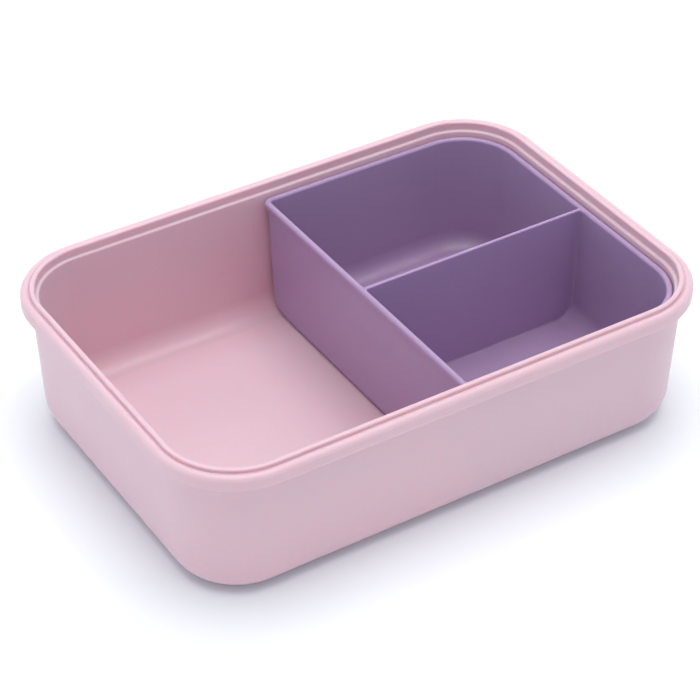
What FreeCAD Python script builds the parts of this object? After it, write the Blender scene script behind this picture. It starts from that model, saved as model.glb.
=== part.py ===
"""Lunch box: a drafted, round-cornered box with a moulded rim, and a lift-out two-part tray.

Millimetres.  The frame stands at the middle of the box's base: +X along the length, +Y along the
width, +Z up.  Every driving dimension is a cell of the sheet "Dims".  A place round the rim or the
walls is given as an inset, the distance inwards from the outline of the flange, so that one number
holds on all four sides and in the corners.
"""
import FreeCAD, Part
import math
import os

import Sketcher

V = FreeCAD.Vector
CLOSE = 1e-4  # two places nearer than this are the same place

DIMENSIONS = [
    # Box, overall
    ("box_length", 234.0, "over the flange"),
    ("box_width", 164.3, "over the flange"),
    ("box_height", 63.1, "base to the top of the lip"),
    ("corner_radius", 33.1, "plan radius of the flange outline"),
    # Box, walls and floor
    ("outer_draft", 2.9, "degrees, outer wall"),
    ("inner_draft", 1.7, "degrees, inner wall and the tray's walls"),
    ("floor_thickness", 2.8, "floor of the box"),
    ("base_radius", 12.0, "outer wall to base"),
    ("floor_radius", 9.0, "inner wall to floor"),
    ("foot_width", 5.0, "flat ring that the box stands on"),
    ("recess_depth", 0.8, "base inside the foot ring"),
    ("gate_diameter", 7.0, "dimple round the moulding gate"),
    ("gate_depth", 0.6, "depth of that dimple"),
    ("gate_nub", 2.0, "diameter of the gate's trimmed stub"),
    # Flange: a bead that turns down round the outside of the rim
    ("flange_overhang", 3.9, "flange beyond the outer wall"),
    ("flange_drop", 7.0, "lip top down to the flange's lower edge"),
    ("flange_step", 1.1, "lip top down to the bead's crest"),
    ("flange_radius", 2.0, "outer top round of the bead"),
    ("flange_edge", 0.6, "round of the flange's lower edge"),
    ("skirt_thickness", 1.9, "down-turned part of the flange"),
    ("web_thickness", 2.6, "bead's crest down to the groove under it"),
    ("crest_width", 2.8, "level top of the bead, before its rounds"),
    ("crest_radius", 1.2, "inner top round of the bead"),
    # Lip: the upstanding edge that a lid seals on
    ("valley_drop", 2.1, "lip top down to the valley beside the bead"),
    ("valley_radius", 0.3, "round of the valley"),
    ("lip_inset", 3.8, "outer face of the lip"),
    ("lip_thickness", 2.0, "lip"),
    ("lip_radius", 0.7, "top rounds of the lip"),
    ("ledge_drop", 3.6, "lip top down to the inner ledge"),
    ("ledge_width", 1.4, "inner ledge"),
    ("ledge_radius", 0.8, "ledge to inner wall"),
    ("ledge_root", 0.3, "lip to ledge"),
    # Tray
    ("tray_drop", 5.7, "lip top down to the tray's rim"),
    ("tray_gap", 0.25, "tray rim to the box's inner wall"),
    ("tray_edge", 0.7, "tray rim's free side, from the middle of the box"),
    ("tray_overhang", 1.2, "tray rim beyond its wall"),
    ("tray_rim_height", 2.4, "tray rim"),
    ("tray_rim_radius", 1.2, "top rounds of the tray rim"),
    ("tray_rim_edge", 0.4, "round of the tray rim's lower edge"),
    ("tray_wall", 1.5, "walls and floor of the tray"),
    ("tray_corner", 3.0, "round of the tray's free side"),
    ("cross_wall", 1.5, "wall between the compartments"),
    ("cross_drop", 0.3, "tray rim down to the cross wall's top"),
    ("cross_crest", 0.6, "top rounds of the cross wall"),
    ("cross_root", 1.0, "cross wall to walls and floor"),
]

doc = FreeCAD.newDocument("LunchBox")
sheet = doc.addObject("Spreadsheet::Sheet", "Dims")
for row, (alias, value, note) in enumerate(DIMENSIONS, start=1):
    sheet.set(f"A{row}", alias)
    sheet.set(f"B{row}", str(value))
    sheet.setAlias(f"B{row}", alias)
    sheet.set(f"C{row}", note)
doc.recompute()


def number(expression):
    """The value that an expression has with the sheet's present cells."""
    return float(sheet.evalExpression(expression))


# Places that several features share, as expressions over the sheet
HALF_LENGTH = "Dims.box_length / 2"
HALF_WIDTH = "Dims.box_width / 2"
FLANGE_LOW = "(Dims.box_height - Dims.flange_drop)"
FLANGE_TOP = "(Dims.box_height - Dims.flange_step)"
VALLEY_LOW = "(Dims.box_height - Dims.valley_drop)"
LIP_INNER = "(Dims.lip_inset + Dims.lip_thickness)"
LEDGE_TOP = "(Dims.box_height - Dims.ledge_drop)"
LEDGE_INNER = f"({LIP_INNER} + Dims.ledge_width)"
BASE_INSET = f"(Dims.flange_overhang + {FLANGE_LOW} * tan(Dims.outer_draft))"
FOOT_INNER = f"({BASE_INSET} + Dims.base_radius + Dims.foot_width)"
TRAY_TOP = "(Dims.box_height - Dims.tray_drop)"
TRAY_RIM_LOW = f"({TRAY_TOP} - Dims.tray_rim_height)"


def inner_inset(height):
    """Inset of the box's inner wall at a height."""
    return f"({LEDGE_INNER} + ({LEDGE_TOP} - {height}) * tan(Dims.inner_draft))"


TRAY_RIM_INSET = f"({inner_inset(TRAY_RIM_LOW)} + Dims.tray_gap)"
TRAY_BASE_RADIUS = "(Dims.floor_radius + Dims.tray_gap)"


def tray_lean(height):
    """How far the tray's walls have leaned inwards at a height, from its rim's outer edge."""
    return f"(Dims.tray_overhang + ({TRAY_RIM_LOW} - {height}) * tan(Dims.inner_draft))"


def origin_plane(body, role):
    """One of a body's own origin planes."""
    return next(item for item in body.Origin.OriginFeatures if item.Role == role)


def new_sketch(body, name, role, height=None):
    """A sketch on an origin plane of its body, raised to a height where one is given."""
    sketch = body.newObject("Sketcher::SketchObject", name)
    sketch.AttachmentSupport = (origin_plane(body, role), "")
    sketch.MapMode = "FlatFace"
    if height:
        sketch.setExpression("AttachmentOffset.Base.z", height)
    return sketch


def bind(sketch, constraint, expression):
    """Add a dimension to a sketch and tie it to an expression."""
    index = sketch.addConstraint(constraint)
    sketch.setExpression(f"Constraints[{index}]", expression)


def draw_outline(sketch, corners):
    """Draw a closed outline of straight sides with rounds of a given radius at its corners.

    Each corner is (x, y) or (x, y, radius), all of them expressions.  The corner where two sides
    would meet is dimensioned from the sketch's origin, and the round is tangent to both sides.
    """
    points = [V(number(corner[0]), number(corner[1]), 0) for corner in corners]
    count = len(corners)
    starts, ends, arcs, marks = [], [], [], []
    for i, corner in enumerate(corners):
        here, before, after = points[i], points[i - 1], points[(i + 1) % count]
        if len(corner) == 2:
            starts.append(here)
            ends.append(here)
            arcs.append(None)
            marks.append(None)
            continue
        radius = number(corner[2])
        back = (before - here).normalize()
        ahead = (after - here).normalize()
        half_angle = back.getAngle(ahead) / 2
        middle = here + (back + ahead).normalize() * (radius / math.sin(half_angle))
        starts.append(here + back * (radius / math.tan(half_angle)))
        ends.append(here + ahead * (radius / math.tan(half_angle)))
        turns_left = back.cross(ahead).z < 0
        first, last = (starts[i], ends[i]) if turns_left else (ends[i], starts[i])
        angles = [math.atan2(point.y - middle.y, point.x - middle.x) for point in (first, last)]
        if angles[1] < angles[0]:
            angles[1] += 2 * math.pi
        circle = Part.Circle(middle, V(0, 0, 1), radius)
        arc = sketch.addGeometry(Part.ArcOfCircle(circle, *angles), False)
        arcs.append((arc, turns_left))
        marks.append(sketch.addGeometry(Part.Point(here), True))
    lines = []
    for i in range(count):
        line = Part.LineSegment(ends[i], starts[(i + 1) % count])
        lines.append(sketch.addGeometry(line, False))
    for i, corner in enumerate(corners):
        line_in, line_out = lines[i - 1], lines[i]
        if arcs[i] is None:
            sketch.addConstraint(Sketcher.Constraint("Coincident", line_in, 2, line_out, 1))
            spot = (line_out, 1)
        else:
            arc, turns_left = arcs[i]
            first, last = (1, 2) if turns_left else (2, 1)
            sketch.addConstraint(Sketcher.Constraint("Tangent", line_in, 2, arc, first))
            sketch.addConstraint(Sketcher.Constraint("Tangent", arc, last, line_out, 1))
            spot = (marks[i], 1)
            sketch.addConstraint(Sketcher.Constraint("PointOnObject", *spot, line_in))
            sketch.addConstraint(Sketcher.Constraint("PointOnObject", *spot, line_out))
            bind(sketch, Sketcher.Constraint("Radius", arc, number(corner[2])), corner[2])
        for axis, expression in zip("XY", corner[:2]):
            distance = Sketcher.Constraint("Distance" + axis, -1, 1, *spot, number(expression))
            bind(sketch, distance, expression)


def at_inset(inset):
    """X of a point on the long axis that lies an inset inside the flange outline."""
    return f"{HALF_LENGTH} - {inset}"


def rounded_rectangle(inset):
    """Corners of the box's outline at an inset, starting on the long axis at the +X end."""
    x = at_inset(inset)
    y = f"{HALF_WIDTH} - {inset}"
    radius = f"Dims.corner_radius - {inset}"
    outline = [(x, "0")]
    for side_x, side_y in (("", ""), ("-", ""), ("-", "-"), ("", "-")):
        outline.append((f"{side_x}({x})", f"{side_y}({y})", radius))
    return outline


def named(shape, kind, test):
    """Names, such as Edge3, of a shape's edges or faces that pass a test."""
    pieces = shape.Edges if kind == "Edge" else shape.Faces
    return [f"{kind}{i}" for i, piece in enumerate(pieces, start=1) if test(piece)]


def places(edge):
    """Three places on an edge: its ends and its middle."""
    first, last = edge.ParameterRange
    return [edge.valueAt(first + (last - first) * share) for share in (0.0, 0.5, 1.0)]


def is_level(face, height):
    """Whether a face is flat and lies at a height."""
    box = face.BoundBox
    return abs(box.ZMin - height) < CLOSE and abs(box.ZMax - height) < CLOSE


def fillet(body, name, base, edges, radius):
    """Round some edges of a feature."""
    feature = body.newObject("PartDesign::Fillet", name)
    feature.Base = (base, edges)
    feature.setExpression("Radius", radius)
    doc.recompute()
    return feature


def sweep(body, name, section, path):
    """Sweep a closed section round a closed path that crosses its plane squarely."""
    feature = body.newObject("PartDesign::AdditivePipe", name)
    feature.Profile = section
    feature.Spine = path
    feature.Mode = "Standard"
    doc.recompute()
    return feature


def make_box():
    """The box: one section of wall and rim swept round the outline, closed by a floor."""
    body = doc.addObject("PartDesign::Body", "OuterBox")
    body.Label = "outer_box"
    path = new_sketch(body, "BoxOutline", "XY_Plane")
    draw_outline(path, rounded_rectangle("0"))

    web_low = f"({FLANGE_TOP} - Dims.web_thickness)"
    wall_at_web = f"(Dims.flange_overhang - ({web_low} - {FLANGE_LOW}) * tan(Dims.outer_draft))"
    outside = [
        (FOOT_INNER, "0", "Dims.recess_depth / 2"),
        (BASE_INSET, "0", "Dims.base_radius"),
        (wall_at_web, web_low, "Dims.flange_edge"),
        ("Dims.skirt_thickness", web_low, "Dims.flange_edge"),
        ("Dims.skirt_thickness", FLANGE_LOW, "Dims.flange_edge"),
        ("0", FLANGE_LOW, "Dims.flange_edge"),
        ("0", FLANGE_TOP, "Dims.flange_radius"),
        ("Dims.crest_width", FLANGE_TOP, "Dims.crest_radius"),
    ]
    lip = [
        ("Dims.lip_inset", VALLEY_LOW, "Dims.valley_radius"),
        ("Dims.lip_inset", "Dims.box_height", "Dims.lip_radius"),
        (LIP_INNER, "Dims.box_height", "Dims.lip_radius"),
    ]
    inside = [
        (LIP_INNER, LEDGE_TOP, "Dims.ledge_root"),
        (LEDGE_INNER, LEDGE_TOP, "Dims.ledge_radius"),
        (inner_inset("Dims.floor_thickness"), "Dims.floor_thickness", "Dims.floor_radius"),
        (FOOT_INNER, "Dims.floor_thickness"),
    ]
    section = new_sketch(body, "WallSection", "XZ_Plane")
    draw_outline(section, [(at_inset(inset), *rest) for inset, *rest in outside + lip + inside])
    doc.recompute()
    sweep(body, "WallsAndRim", section, path)

    floor_outline = new_sketch(body, "FloorOutline", "XY_Plane", "Dims.recess_depth")
    draw_outline(floor_outline, rounded_rectangle(f"({FOOT_INNER} - Dims.foot_width / 2)"))
    floor = body.newObject("PartDesign::Pad", "Floor")
    floor.Profile = floor_outline
    floor.setExpression("Length", "Dims.floor_thickness - Dims.recess_depth")
    doc.recompute()

    gate_rings = new_sketch(body, "GateRings", "XY_Plane", "Dims.recess_depth")
    for diameter in ("Dims.gate_diameter", "Dims.gate_nub"):
        circle = Part.Circle(V(0, 0, 0), V(0, 0, 1), number(diameter) / 2)
        ring = gate_rings.addGeometry(circle, False)
        gate_rings.addConstraint(Sketcher.Constraint("Coincident", ring, 3, -1, 1))
        bind(gate_rings, Sketcher.Constraint("Diameter", ring, number(diameter)), diameter)
    gate = body.newObject("PartDesign::Pocket", "GateDimple")
    gate.Profile = gate_rings
    gate.Reversed = True
    gate.setExpression("Length", "Dims.gate_depth")
    doc.recompute()
    if gate.Shape.Volume >= floor.Shape.Volume - CLOSE:
        raise ValueError("the gate dimple cuts nothing")
    return body


def make_tray_shell(body):
    """The tray's walls and floor: a drafted block, rounded, then hollowed from its top."""
    shell_top = f"({TRAY_RIM_LOW} + (Dims.tray_rim_height - Dims.tray_rim_radius) / 2)"
    inset = f"({TRAY_RIM_INSET} + {tray_lean(shell_top)})"
    free_side = f"Dims.tray_edge + {tray_lean(shell_top)}"
    right = at_inset(inset)
    back = f"{HALF_WIDTH} - {inset}"
    corner = f"Dims.corner_radius - {inset}"
    outline = new_sketch(body, "TrayOutline", "XY_Plane", shell_top)
    draw_outline(outline, [
        (right, back, corner),
        (free_side, back),
        (free_side, f"-({back})"),
        (right, f"-({back})", corner),
    ])
    block = body.newObject("PartDesign::Pad", "TrayBlock")
    block.Profile = outline
    block.Reversed = True
    block.setExpression("Length", f"{shell_top} - Dims.floor_thickness")
    doc.recompute()

    top = number(shell_top)
    bottom = number("Dims.floor_thickness")
    top_faces = named(block.Shape, "Face", lambda face: is_level(face, top))
    ends = top_faces + named(block.Shape, "Face", lambda face: is_level(face, bottom))
    draft = body.newObject("PartDesign::Draft", "TrayDraft")
    draft.Base = (block, [name for name in named(block.Shape, "Face", bool) if name not in ends])
    draft.NeutralPlane = (block, top_faces)
    draft.Reversed = True
    draft.setExpression("Angle", "Dims.inner_draft")
    doc.recompute()
    if draft.Shape.Volume >= block.Shape.Volume:
        raise ValueError("the tray's walls lean outwards")

    def on_free_side(place):
        return abs(place.x - number(f"Dims.tray_edge + {tray_lean(place.z)}")) < CLOSE

    def is_base_edge(edge):
        level = all(abs(place.z - bottom) < CLOSE for place in places(edge))
        return level and not all(on_free_side(place) for place in places(edge))

    def is_free_side_edge(edge):
        below_top = min(place.z for place in places(edge)) < top - CLOSE
        return below_top and all(on_free_side(place) for place in places(edge))

    base_edges = named(draft.Shape, "Edge", is_base_edge)
    rounded = fillet(body, "TrayBase", draft, base_edges, TRAY_BASE_RADIUS)
    free_edges = named(rounded.Shape, "Edge", is_free_side_edge)
    rounded = fillet(body, "TrayFreeSide", rounded, free_edges, "Dims.tray_corner")

    shell = body.newObject("PartDesign::Thickness", "TrayShell")
    shell.Base = (rounded, named(rounded.Shape, "Face", lambda face: is_level(face, top)))
    shell.setExpression("Value", "Dims.tray_wall")
    shell.Mode = "Skin"
    shell.Join = "Intersection"
    shell.Reversed = True
    doc.recompute()
    return shell


def add_cross_wall(body):
    """The wall between the compartments, rooted halfway into the tray's walls and floor."""
    half_wall = "Dims.tray_wall / 2"
    low = f"(Dims.floor_thickness + {half_wall})"
    crest = f"({TRAY_TOP} - Dims.cross_drop)"

    def side(edge_place, height):
        return f"{edge_place} + {tray_lean(height)} + {half_wall}"

    outline = new_sketch(body, "CrossWallOutline", "XZ_Plane")
    draw_outline(outline, [
        (side("Dims.tray_edge", low), low, f"Dims.tray_corner - {half_wall}"),
        (at_inset(f"({side(TRAY_RIM_INSET, low)})"), low, f"{TRAY_BASE_RADIUS} - {half_wall}"),
        (at_inset(f"({side(TRAY_RIM_INSET, crest)})"), crest),
        (side("Dims.tray_edge", crest), crest),
    ])
    wall = body.newObject("PartDesign::Pad", "CrossWall")
    wall.Profile = outline
    wall.SideType = "Symmetric"
    wall.setExpression("Length", "Dims.cross_wall")
    doc.recompute()

    def is_crest_edge(edge):
        at_crest = all(abs(place.z - number(crest)) < CLOSE for place in places(edge))
        return at_crest and all(on_cross_face(place) for place in places(edge))

    return fillet(body, "CrossWallCrest", wall, named(wall.Shape, "Edge", is_crest_edge),
                  "Dims.cross_crest")


def on_cross_face(place):
    """Whether a place lies on one of the cross wall's two faces."""
    return abs(abs(place.y) - number("Dims.cross_wall / 2")) < CLOSE


def add_tray_rim(body):
    """The tray's rim: a bead that stands out all round, flush with the walls inside."""
    x = at_inset(TRAY_RIM_INSET)
    y = f"{HALF_WIDTH} - {TRAY_RIM_INSET}"
    box_corner = f"Dims.corner_radius - {TRAY_RIM_INSET}"
    free_corner = "Dims.tray_corner + Dims.tray_overhang"
    path = new_sketch(body, "TrayRimOutline", "XY_Plane", TRAY_TOP)
    draw_outline(path, [
        (x, "0"),
        (x, y, box_corner),
        ("Dims.tray_edge", y, free_corner),
        ("Dims.tray_edge", f"-({y})", free_corner),
        (x, f"-({y})", box_corner),
    ])
    wall_width = "Dims.tray_wall / cos(Dims.inner_draft)"
    corners = [
        ("0", TRAY_RIM_LOW, "Dims.tray_rim_edge"),
        ("0", TRAY_TOP, "Dims.tray_rim_radius"),
        (f"({tray_lean(TRAY_TOP)} + {wall_width})", TRAY_TOP, "Dims.tray_rim_radius"),
        (f"({tray_lean(TRAY_RIM_LOW)} + {wall_width})", TRAY_RIM_LOW),
    ]
    section = new_sketch(body, "TrayRimSection", "XZ_Plane")
    draw_outline(section, [
        (at_inset(f"({TRAY_RIM_INSET} + {inset})"), *rest) for inset, *rest in corners
    ])
    doc.recompute()
    return sweep(body, "TrayRim", section, path)


def make_tray():
    """The tray: one moulding with two compartments that stands on the box's floor."""
    body = doc.addObject("PartDesign::Body", "InsertTray")
    body.Label = "insert_tray"
    make_tray_shell(body)
    add_cross_wall(body)
    rim = add_tray_rim(body)

    crest_start = number(f"{TRAY_TOP} - Dims.cross_drop - Dims.cross_crest")

    def is_root_edge(edge):
        at_crest = all(place.z > crest_start - CLOSE for place in places(edge))
        return not at_crest and all(on_cross_face(place) for place in places(edge))

    fillet(body, "CrossWallRoots", rim, named(rim.Shape, "Edge", is_root_edge), "Dims.cross_root")
    return body


def write_parts(bodies):
    """Check every object of the document, then write one STEP file for each piece."""
    failed = [item.Name for item in doc.Objects if {"Invalid", "Error"} & set(item.State)]
    if failed:
        raise ValueError(f"failed objects: {failed}")
    for body in bodies:
        shape = body.Shape
        if shape.isNull() or not shape.isValid() or len(shape.Solids) != 1:
            raise ValueError(f"{body.Label} isn't one sound solid")
    os.makedirs("parts", exist_ok=True)
    for body in bodies:
        body.Shape.exportStep(f"parts/{body.Label}.step")
        extent = body.Shape.optimalBoundingBox()
        print(f"{body.Label}: {body.Shape.Volume / 1000:.1f} cm3, "
              f"{extent.XLength:.1f} x {extent.YLength:.1f} x {extent.ZLength:.1f} mm")


pieces = [make_box(), make_tray()]
doc.recompute()
write_parts(pieces)
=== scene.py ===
import math

import bpy
from mathutils import Matrix, Vector

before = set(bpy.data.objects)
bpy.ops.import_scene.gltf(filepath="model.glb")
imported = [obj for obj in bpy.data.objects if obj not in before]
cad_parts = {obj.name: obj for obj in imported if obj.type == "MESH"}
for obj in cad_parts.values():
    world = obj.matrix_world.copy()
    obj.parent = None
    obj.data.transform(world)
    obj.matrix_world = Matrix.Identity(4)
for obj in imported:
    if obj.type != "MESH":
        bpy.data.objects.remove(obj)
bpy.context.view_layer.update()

MM = 0.001

# The camera's place, seen from its target: turned round Z from -Y, and above the horizon
CAMERA_AZIMUTH = math.radians(-32.37)
CAMERA_ELEVATION = math.radians(37.17)
CAMERA_ROLL = math.radians(0.09)
CAMERA_DISTANCE = 0.9780
CAMERA_TARGET = Vector((-0.0037, -0.0004, 0.030))
CAMERA_LENS = 127.72  # mm

FLOOR_SIZE = 6.0
FLOOR_SHADED = 0.4  # within this distance of the origin the camera sees the table's own shading
FLOOR_WHITE = 0.8  # past this distance it sees plain white

# Roughness of the moulded faces, and the strength of the fine grain on them
INSIDE_ROUGHNESS, INSIDE_GRAIN = 0.35, 0.08
OUTSIDE_ROUGHNESS, OUTSIDE_GRAIN = 0.42, 0.2
RIM_GRAIN = 0.03
GLOSS_SPREAD = 0.03  # how far smears move the roughness either way

GRAIN_DEPTH = 0.05 * MM
WAVE_DEPTH = 0.35 * MM
WAVE_STRENGTH = 0.25
SIDE_EDGE = 1.0 * MM  # half the width over which the inside's finish turns into the outside's
RIM_EDGE = 0.5 * MM  # half the height over which the walls' finish turns into the rim's

# How brightly the studio's walls and ceiling light the object, from the front and from beside it
WALLS_FRONT, WALLS_BESIDE = 0.56, 1.11
CEILING_FRONT, CEILING_BESIDE = 0.75, 0.40
CEILING_START, CEILING_FULL = 0.3, 0.6  # sines of the angles above the horizon

WHITE = (1.0, 1.0, 1.0, 1.0)
COOL = (0.81, 0.925, 1.0, 1.0)
PAPER = (0.93, 0.94, 0.965, 1.0)


def add_camera():
    """A long lens that looks down on the open box from one corner."""
    back = Vector((
        math.sin(CAMERA_AZIMUTH) * math.cos(CAMERA_ELEVATION),
        -math.cos(CAMERA_AZIMUTH) * math.cos(CAMERA_ELEVATION),
        math.sin(CAMERA_ELEVATION),
    ))
    right = (-back).cross(Vector((0, 0, 1))).normalized()
    up = right.cross(-back)
    right, up = (
        right * math.cos(CAMERA_ROLL) + up * math.sin(CAMERA_ROLL),
        up * math.cos(CAMERA_ROLL) - right * math.sin(CAMERA_ROLL),
    )
    data = bpy.data.cameras.new("camera")
    data.sensor_width = 36.0
    data.lens = CAMERA_LENS
    data.clip_start = 0.01
    camera = bpy.data.objects.new("camera", data)
    axes = Matrix((right, up, back)).transposed().to_4x4()
    camera.matrix_world = Matrix.Translation(CAMERA_TARGET + back * CAMERA_DISTANCE) @ axes
    bpy.context.scene.collection.objects.link(camera)
    bpy.context.scene.camera = camera


class Nodes:
    """A short way to write the node tree of a material or a world."""

    def __init__(self, owner):
        owner.use_nodes = True
        self.tree = owner.node_tree
        self.tree.nodes.clear()

    def add(self, kind, inputs=None, **settings):
        """Add a node; each input is a constant or another node's socket."""
        node = self.tree.nodes.new(kind)
        for name, value in settings.items():
            setattr(node, name, value)
        for name, value in (inputs or {}).items():
            if isinstance(value, bpy.types.NodeSocket):
                self.tree.links.new(value, node.inputs[name])
            else:
                node.inputs[name].default_value = value
        return node


def blend(nodes, factor, low, high):
    """A number that goes from low to high as a factor goes from 0 to 1."""
    return nodes.add("ShaderNodeMix", {"Factor": factor, "A": low, "B": high}).outputs["Result"]


def rise(nodes, value, start, end):
    """A smooth step from 0 to 1 as a value goes from start to end."""
    return nodes.add("ShaderNodeMapRange", {
        "Value": value,
        "From Min": start,
        "From Max": end,
    }, interpolation_type="SMOOTHSTEP").outputs["Result"]


def moulded_plastic(name, colour, shade, scatter, rim_height, rim_roughness):
    """Injection-moulded polypropylene.

    The outside has a fine satin grain, the inside is smoother, and the rim, from rim_height
    upwards, has the least grain and a roughness of its own.  The colour is faintly clouded, and
    some light scatters through.
    """
    material = bpy.data.materials.new(name)
    nodes = Nodes(material)
    coordinates = nodes.add("ShaderNodeTexCoord")
    place = coordinates.outputs["Object"]

    # Where on the moulding: an outside wall faces away from the middle, an inside wall faces it
    outward = nodes.add("ShaderNodeVectorMath", {
        0: nodes.add("ShaderNodeVectorMath", {0: place, 1: (1.0, 1.0, 0.0)},
                     operation="MULTIPLY").outputs["Vector"],
        1: coordinates.outputs["Normal"],
    }, operation="DOT_PRODUCT")
    outside = rise(nodes, outward.outputs["Value"], -SIDE_EDGE, SIDE_EDGE)
    height = nodes.add("ShaderNodeSeparateXYZ", {"Vector": place}).outputs["Z"]
    rim = rise(nodes, height, rim_height - RIM_EDGE, rim_height + RIM_EDGE)

    cloud = nodes.add("ShaderNodeTexNoise", {"Vector": place, "Scale": 14.0, "Detail": 3.0})
    tint = nodes.add("ShaderNodeMix", {"Factor": cloud.outputs["Fac"], "A": colour, "B": shade},
                     data_type="RGBA")

    walls = blend(nodes, outside, INSIDE_ROUGHNESS, OUTSIDE_ROUGHNESS)
    finish = blend(nodes, rim, walls, rim_roughness)
    smears = nodes.add("ShaderNodeTexNoise", {"Vector": place, "Scale": 60.0, "Detail": 2.0})
    gloss = nodes.add("ShaderNodeMapRange", {
        "Value": smears.outputs["Fac"],
        "To Min": -GLOSS_SPREAD,
        "To Max": GLOSS_SPREAD,
    })
    roughness = nodes.add("ShaderNodeMath", {0: finish, 1: gloss.outputs["Result"]},
                          operation="ADD")

    grain = nodes.add("ShaderNodeTexNoise", {"Vector": place, "Scale": 2200.0, "Detail": 2.0})
    wall_grain = blend(nodes, outside, INSIDE_GRAIN, OUTSIDE_GRAIN)
    fine = nodes.add("ShaderNodeBump", {
        "Height": grain.outputs["Fac"],
        "Strength": blend(nodes, rim, wall_grain, RIM_GRAIN),
        "Distance": GRAIN_DEPTH,
    })
    wave = nodes.add("ShaderNodeTexNoise", {"Vector": place, "Scale": 26.0, "Detail": 1.0})
    broad = nodes.add("ShaderNodeBump", {
        "Height": wave.outputs["Fac"],
        "Strength": WAVE_STRENGTH,
        "Distance": WAVE_DEPTH,
        "Normal": fine.outputs["Normal"],
    })
    plastic = nodes.add("ShaderNodeBsdfPrincipled", {
        "Base Color": tint.outputs["Result"],
        "Roughness": roughness.outputs["Value"],
        "IOR": 1.49,
        "Normal": broad.outputs["Normal"],
        "Subsurface Weight": 0.8,
        "Subsurface Radius": scatter,
        "Subsurface Scale": 3.0 * MM,
    })
    nodes.add("ShaderNodeOutputMaterial", {"Surface": plastic.outputs["BSDF"]})
    return material


def add_floor():
    """A white table top that holds the shadow and, far from the object, is seen as plain white."""
    bpy.ops.mesh.primitive_plane_add(size=FLOOR_SIZE)
    floor = bpy.context.object
    floor.name = "floor"
    material = bpy.data.materials.new("white_table")
    nodes = Nodes(material)
    place = nodes.add("ShaderNodeTexCoord").outputs["Object"]
    distance = nodes.add("ShaderNodeVectorMath", {0: place}, operation="LENGTH").outputs["Value"]
    far = nodes.add("ShaderNodeMath", {
        0: rise(nodes, distance, FLOOR_SHADED, FLOOR_WHITE),
        1: nodes.add("ShaderNodeLightPath").outputs["Is Camera Ray"],
    }, operation="MULTIPLY")
    paper = nodes.add("ShaderNodeBsdfDiffuse", {"Color": PAPER})
    white = nodes.add("ShaderNodeEmission", {"Color": WHITE, "Strength": 1.0})
    table = nodes.add("ShaderNodeMixShader", {
        0: far.outputs["Value"],
        1: paper.outputs[0],
        2: white.outputs[0],
    })
    nodes.add("ShaderNodeOutputMaterial", {"Surface": table.outputs[0]})
    floor.data.materials.append(material)


def add_light(name, place, aim, size, power, colour=(1.0, 1.0, 1.0)):
    """A soft oval lamp that faces a point, with its power in watts."""
    data = bpy.data.lights.new(name, "AREA")
    data.shape = "ELLIPSE"
    data.size, data.size_y = size
    data.energy = power
    data.color = colour
    lamp = bpy.data.objects.new(name, data)
    lamp.location = place
    lamp.rotation_euler = (Vector(aim) - Vector(place)).to_track_quat("-Z", "Y").to_euler()
    bpy.context.scene.collection.objects.link(lamp)


def light_scene():
    """A white studio, with a large soft box overhead and a small one behind.

    Its walls are bright beside and behind the object and dim in front of it, its ceiling the other
    way round.  Their light is slightly cool, but the camera and reflections see plain white.
    """
    world = bpy.data.worlds.new("studio")
    bpy.context.scene.world = world
    nodes = Nodes(world)
    place = nodes.add("ShaderNodeTexCoord").outputs["Generated"]
    direction = nodes.add("ShaderNodeSeparateXYZ", {"Vector": place}).outputs
    overhead = rise(nodes, direction["Z"], CEILING_START, CEILING_FULL)
    beside = rise(nodes, direction["Y"], -1.0, 0.0)  # 0 straight in front, 1 beside and behind
    walls = blend(nodes, beside, WALLS_FRONT, WALLS_BESIDE)
    ceiling = blend(nodes, beside, CEILING_FRONT, CEILING_BESIDE)
    lit = blend(nodes, overhead, walls, ceiling)
    rays = nodes.add("ShaderNodeLightPath")
    seen = nodes.add("ShaderNodeMath", {
        0: rays.outputs["Is Camera Ray"],
        1: rays.outputs["Is Glossy Ray"],
    }, operation="MAXIMUM")
    tint = nodes.add("ShaderNodeMix", {"Factor": seen.outputs["Value"], "A": COOL, "B": WHITE},
                     data_type="RGBA")
    studio = nodes.add("ShaderNodeBackground", {
        "Color": tint.outputs["Result"],
        "Strength": blend(nodes, seen.outputs["Value"], lit, 1.0),
    })
    nodes.add("ShaderNodeOutputWorld", {"Surface": studio.outputs[0]})
    add_light("overhead", (0.08, 0.05, 4.0), (0, 0, 0), (4.0, 4.0), 134.0, (1.0, 0.99, 0.965))
    add_light("back", (1.0, 1.6, 1.6), (0, 0, 0), (1.8, 1.1), 4.5)
    bpy.context.scene.view_settings.view_transform = "Standard"


add_camera()
light_scene()
add_floor()
pink = moulded_plastic(
    "pink_plastic",
    colour=(0.75, 0.53, 0.597, 1.0),
    shade=(0.73, 0.51, 0.577, 1.0),
    scatter=(1.0, 0.45, 0.4),
    rim_height=56.0 * MM,
    rim_roughness=0.42,
)
lilac = moulded_plastic(
    "lilac_plastic",
    colour=(0.43, 0.294, 0.472, 1.0),
    shade=(0.41, 0.279, 0.452, 1.0),
    scatter=(0.8, 0.6, 1.0),
    rim_height=55.0 * MM,
    rim_roughness=0.31,
)
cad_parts["outer_box"].material_slots[0].material = pink
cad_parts["insert_tray"].material_slots[0].material = lilac
